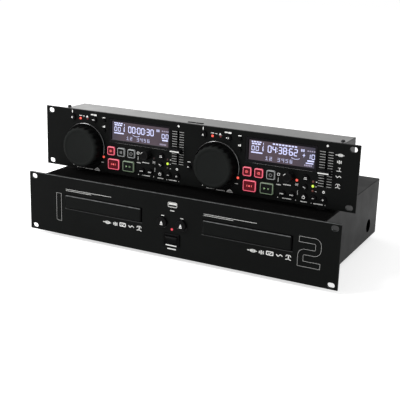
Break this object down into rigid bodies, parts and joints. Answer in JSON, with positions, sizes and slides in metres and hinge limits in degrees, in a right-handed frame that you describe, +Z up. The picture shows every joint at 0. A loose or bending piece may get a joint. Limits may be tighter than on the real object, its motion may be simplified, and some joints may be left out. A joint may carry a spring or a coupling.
{
  "type": "dual disc player with controller",
  "caption": "Rack-width disc player for club use: a low drive unit with motor trays, and a slim controller with jog wheels, displays, speed sliders and lit keys standing on it.",
  "frame": {"origin": "middle of the footprint, on the surface that the lower unit's feet stand on", "axes": "+X to the right seen from the front, +Y to the back, +Z up"},
  "size_m": [0.4866, 0.266, 0.1878],
  "materials": {
    "drive_panel_paint": "satin black powder coat",
    "casing_paint": "fine-textured black coat",
    "foot_rubber": "matte",
    "screw_black": "blackened steel",
    "circuit_board": "solder mask",
    "transformer_steel": "lacquered laminations",
    "fitting_plastic": "moulded black",
    "loader_plastic": "moulded black",
    "tray_plastic": "fine-grained black",
    "eject_plastic": "satin black",
    "rocker_plastic": "polished black",
    "control_panel_paint": "satin black powder coat",
    "plated_steel": "zinc plated, satin",
    "display_window": "clear window over a dark display",
    "jog_plastic": "soft-touch black",
    "slider_plastic": "satin black",
    "knob_plastic": "satin black",
    "button_rubber": "matte black",
    "key_lit_red": "translucent, lit red",
    "key_unlit": "translucent grey",
    "key_play": "translucent grey-green"
  },
  "bodies": {
    "drive_unit": {"drive_front_panel": "drive_panel_paint", "drive_chassis": "casing_paint", "drive_top_cover": "casing_paint", "drive_feet": "foot_rubber", "drive_screws": "screw_black", "main_board": "circuit_board", "power_supply": "transformer_steel", "sockets": "fitting_plastic", "disc_drive_1": "loader_plastic", "disc_drive_2": "loader_plastic"},
    "controller_unit": {"controller_panel": "control_panel_paint", "controller_chassis": "plated_steel", "control_board": "circuit_board", "display_modules": "display_window", "controller_feet": "foot_rubber", "controller_screws": "screw_black"},
    "disc_tray_1": {"disc_tray_1": "tray_plastic"},
    "disc_tray_2": {"disc_tray_2": "tray_plastic"},
    "jog_wheel_1": {"jog_wheel_1": "jog_plastic"},
    "jog_wheel_2": {"jog_wheel_2": "jog_plastic"},
    "pitch_slider_1": {"pitch_slider_1": "slider_plastic"},
    "pitch_slider_2": {"pitch_slider_2": "slider_plastic"},
    "track_knob_1": {"track_knob_1": "knob_plastic"},
    "track_knob_2": {"track_knob_2": "knob_plastic"},
    "power_rocker": {"power_rocker": "rocker_plastic"},
    "eject_button_1": {"eject_button_1": "eject_plastic"},
    "eject_button_2": {"eject_button_2": "eject_plastic"},
    "play_key_1": {"play_key_1": "key_play"},
    "cue_key_1": {"cue_key_1": "key_lit_red"},
    "loop_in_key_1": {"loop_in_key_1": "key_lit_red"},
    "loop_out_key_1": {"loop_out_key_1": "key_unlit"},
    "reloop_key_1": {"reloop_key_1": "key_unlit"},
    "play_key_2": {"play_key_2": "key_play"},
    "cue_key_2": {"cue_key_2": "key_lit_red"},
    "loop_in_key_2": {"loop_in_key_2": "key_lit_red"},
    "loop_out_key_2": {"loop_out_key_2": "key_lit_red"},
    "reloop_key_2": {"reloop_key_2": "key_unlit"},
    "relay_button": {"relay_button": "button_rubber"},
    "source_button_1": {"source_button_1": "button_rubber"},
    "folder_button_1": {"folder_button_1": "button_rubber"},
    "time_button_1": {"time_button_1": "button_rubber"},
    "program_button_1": {"program_button_1": "button_rubber"},
    "key_lock_button_1": {"key_lock_button_1": "button_rubber"},
    "speed_button_1": {"speed_button_1": "button_rubber"},
    "track_back_button_1": {"track_back_button_1": "button_rubber"},
    "track_forward_button_1": {"track_forward_button_1": "button_rubber"},
    "tap_button_1": {"tap_button_1": "button_rubber"},
    "bend_down_button_1": {"bend_down_button_1": "button_rubber"},
    "bend_up_button_1": {"bend_up_button_1": "button_rubber"},
    "source_button_2": {"source_button_2": "button_rubber"},
    "folder_button_2": {"folder_button_2": "button_rubber"},
    "time_button_2": {"time_button_2": "button_rubber"},
    "program_button_2": {"program_button_2": "button_rubber"},
    "key_lock_button_2": {"key_lock_button_2": "button_rubber"},
    "speed_button_2": {"speed_button_2": "button_rubber"},
    "track_back_button_2": {"track_back_button_2": "button_rubber"},
    "track_forward_button_2": {"track_forward_button_2": "button_rubber"},
    "tap_button_2": {"tap_button_2": "button_rubber"},
    "bend_down_button_2": {"bend_down_button_2": "button_rubber"},
    "bend_up_button_2": {"bend_up_button_2": "button_rubber"}
  },
  "joints": [
    {"name": "controller_lift", "type": "slide", "parent": "drive_unit", "child": "controller_unit", "axis": [0, 0, 1], "range_m": [0, 0.12]},
    {"name": "tray_1_slide", "type": "slide", "parent": "drive_unit", "child": "disc_tray_1", "axis": [0, -1, 0], "range_m": [0, 0.134]},
    {"name": "tray_2_slide", "type": "slide", "parent": "drive_unit", "child": "disc_tray_2", "axis": [0, -1, 0], "range_m": [0, 0.134]},
    {"name": "jog_1_turn", "type": "hinge", "parent": "controller_unit", "child": "jog_wheel_1", "pos_m": [-0.17005, -0.098, 0.1339], "axis": [0, -1, 0], "continuous": true},
    {"name": "jog_2_turn", "type": "hinge", "parent": "controller_unit", "child": "jog_wheel_2", "pos_m": [0.04545, -0.098, 0.1339], "axis": [0, -1, 0], "continuous": true},
    {"name": "pitch_slider_1_slide", "type": "slide", "parent": "controller_unit", "child": "pitch_slider_1", "axis": [0, 0, 1], "range_m": [-0.0184, 0.0261]},
    {"name": "pitch_slider_2_slide", "type": "slide", "parent": "controller_unit", "child": "pitch_slider_2", "axis": [0, 0, 1], "range_m": [-0.0184, 0.0261]},
    {"name": "track_knob_1_turn", "type": "hinge", "parent": "controller_unit", "child": "track_knob_1", "pos_m": [-0.06375, -0.096, 0.1347], "axis": [0, -1, 0], "continuous": true},
    {"name": "track_knob_2_turn", "type": "hinge", "parent": "controller_unit", "child": "track_knob_2", "pos_m": [0.15175, -0.096, 0.1347], "axis": [0, -1, 0], "continuous": true},
    {"name": "power_rocker_tilt", "type": "hinge", "parent": "drive_unit", "child": "power_rocker", "pos_m": [-0.0008, -0.1275, 0.03], "axis": [1, 0, 0], "range_deg": [-16, 0]},
    {"name": "eject_button_1_press", "type": "slide", "parent": "drive_unit", "child": "eject_button_1", "axis": [0, 1, 0], "range_m": [0, 0.0015], "stiffness_N_per_m": 1200},
    {"name": "eject_button_2_press", "type": "slide", "parent": "drive_unit", "child": "eject_button_2", "axis": [0, 1, 0], "range_m": [0, 0.0015], "stiffness_N_per_m": 1200},
    {"name": "play_key_1_press", "type": "slide", "parent": "controller_unit", "child": "play_key_1", "axis": [0, 1, 0], "range_m": [0, 0.0012], "stiffness_N_per_m": 1200},
    {"name": "cue_key_1_press", "type": "slide", "parent": "controller_unit", "child": "cue_key_1", "axis": [0, 1, 0], "range_m": [0, 0.0012], "stiffness_N_per_m": 1200},
    {"name": "loop_in_key_1_press", "type": "slide", "parent": "controller_unit", "child": "loop_in_key_1", "axis": [0, 1, 0], "range_m": [0, 0.0012], "stiffness_N_per_m": 1200},
    {"name": "loop_out_key_1_press", "type": "slide", "parent": "controller_unit", "child": "loop_out_key_1", "axis": [0, 1, 0], "range_m": [0, 0.0012], "stiffness_N_per_m": 1200},
    {"name": "reloop_key_1_press", "type": "slide", "parent": "controller_unit", "child": "reloop_key_1", "axis": [0, 1, 0], "range_m": [0, 0.0012], "stiffness_N_per_m": 1200},
    {"name": "play_key_2_press", "type": "slide", "parent": "controller_unit", "child": "play_key_2", "axis": [0, 1, 0], "range_m": [0, 0.0012], "stiffness_N_per_m": 1200},
    {"name": "cue_key_2_press", "type": "slide", "parent": "controller_unit", "child": "cue_key_2", "axis": [0, 1, 0], "range_m": [0, 0.0012], "stiffness_N_per_m": 1200},
    {"name": "loop_in_key_2_press", "type": "slide", "parent": "controller_unit", "child": "loop_in_key_2", "axis": [0, 1, 0], "range_m": [0, 0.0012], "stiffness_N_per_m": 1200},
    {"name": "loop_out_key_2_press", "type": "slide", "parent": "controller_unit", "child": "loop_out_key_2", "axis": [0, 1, 0], "range_m": [0, 0.0012], "stiffness_N_per_m": 1200},
    {"name": "reloop_key_2_press", "type": "slide", "parent": "controller_unit", "child": "reloop_key_2", "axis": [0, 1, 0], "range_m": [0, 0.0012], "stiffness_N_per_m": 1200},
    {"name": "relay_button_press", "type": "slide", "parent": "controller_unit", "child": "relay_button", "axis": [0, 1, 0], "range_m": [0, 0.0012], "stiffness_N_per_m": 1200},
    {"name": "source_button_1_press", "type": "slide", "parent": "controller_unit", "child": "source_button_1", "axis": [0, 1, 0], "range_m": [0, 0.0012], "stiffness_N_per_m": 1200},
    {"name": "folder_button_1_press", "type": "slide", "parent": "controller_unit", "child": "folder_button_1", "axis": [0, 1, 0], "range_m": [0, 0.0012], "stiffness_N_per_m": 1200},
    {"name": "time_button_1_press", "type": "slide", "parent": "controller_unit", "child": "time_button_1", "axis": [0, 1, 0], "range_m": [0, 0.0012], "stiffness_N_per_m": 1200},
    {"name": "program_button_1_press", "type": "slide", "parent": "controller_unit", "child": "program_button_1", "axis": [0, 1, 0], "range_m": [0, 0.0012], "stiffness_N_per_m": 1200},
    {"name": "key_lock_button_1_press", "type": "slide", "parent": "controller_unit", "child": "key_lock_button_1", "axis": [0, 1, 0], "range_m": [0, 0.0012], "stiffness_N_per_m": 1200},
    {"name": "speed_button_1_press", "type": "slide", "parent": "controller_unit", "child": "speed_button_1", "axis": [0, 1, 0], "range_m": [0, 0.0012], "stiffness_N_per_m": 1200},
    {"name": "track_back_button_1_press", "type": "slide", "parent": "controller_unit", "child": "track_back_button_1", "axis": [0, 1, 0], "range_m": [0, 0.0012], "stiffness_N_per_m": 1200},
    {"name": "track_forward_button_1_press", "type": "slide", "parent": "controller_unit", "child": "track_forward_button_1", "axis": [0, 1, 0], "range_m": [0, 0.0012], "stiffness_N_per_m": 1200},
    {"name": "tap_button_1_press", "type": "slide", "parent": "controller_unit", "child": "tap_button_1", "axis": [0, 1, 0], "range_m": [0, 0.0012], "stiffness_N_per_m": 1200},
    {"name": "bend_down_button_1_press", "type": "slide", "parent": "controller_unit", "child": "bend_down_button_1", "axis": [0, 1, 0], "range_m": [0, 0.0012], "stiffness_N_per_m": 1200},
    {"name": "bend_up_button_1_press", "type": "slide", "parent": "controller_unit", "child": "bend_up_button_1", "axis": [0, 1, 0], "range_m": [0, 0.0012], "stiffness_N_per_m": 1200},
    {"name": "source_button_2_press", "type": "slide", "parent": "controller_unit", "child": "source_button_2", "axis": [0, 1, 0], "range_m": [0, 0.0012], "stiffness_N_per_m": 1200},
    {"name": "folder_button_2_press", "type": "slide", "parent": "controller_unit", "child": "folder_button_2", "axis": [0, 1, 0], "range_m": [0, 0.0012], "stiffness_N_per_m": 1200},
    {"name": "time_button_2_press", "type": "slide", "parent": "controller_unit", "child": "time_button_2", "axis": [0, 1, 0], "range_m": [0, 0.0012], "stiffness_N_per_m": 1200},
    {"name": "program_button_2_press", "type": "slide", "parent": "controller_unit", "child": "program_button_2", "axis": [0, 1, 0], "range_m": [0, 0.0012], "stiffness_N_per_m": 1200},
    {"name": "key_lock_button_2_press", "type": "slide", "parent": "controller_unit", "child": "key_lock_button_2", "axis": [0, 1, 0], "range_m": [0, 0.0012], "stiffness_N_per_m": 1200},
    {"name": "speed_button_2_press", "type": "slide", "parent": "controller_unit", "child": "speed_button_2", "axis": [0, 1, 0], "range_m": [0, 0.0012], "stiffness_N_per_m": 1200},
    {"name": "track_back_button_2_press", "type": "slide", "parent": "controller_unit", "child": "track_back_button_2", "axis": [0, 1, 0], "range_m": [0, 0.0012], "stiffness_N_per_m": 1200},
    {"name": "track_forward_button_2_press", "type": "slide", "parent": "controller_unit", "child": "track_forward_button_2", "axis": [0, 1, 0], "range_m": [0, 0.0012], "stiffness_N_per_m": 1200},
    {"name": "tap_button_2_press", "type": "slide", "parent": "controller_unit", "child": "tap_button_2", "axis": [0, 1, 0], "range_m": [0, 0.0012], "stiffness_N_per_m": 1200},
    {"name": "bend_down_button_2_press", "type": "slide", "parent": "controller_unit", "child": "bend_down_button_2", "axis": [0, 1, 0], "range_m": [0, 0.0012], "stiffness_N_per_m": 1200},
    {"name": "bend_up_button_2_press", "type": "slide", "parent": "controller_unit", "child": "bend_up_button_2", "axis": [0, 1, 0], "range_m": [0, 0.0012], "stiffness_N_per_m": 1200}
  ]
}
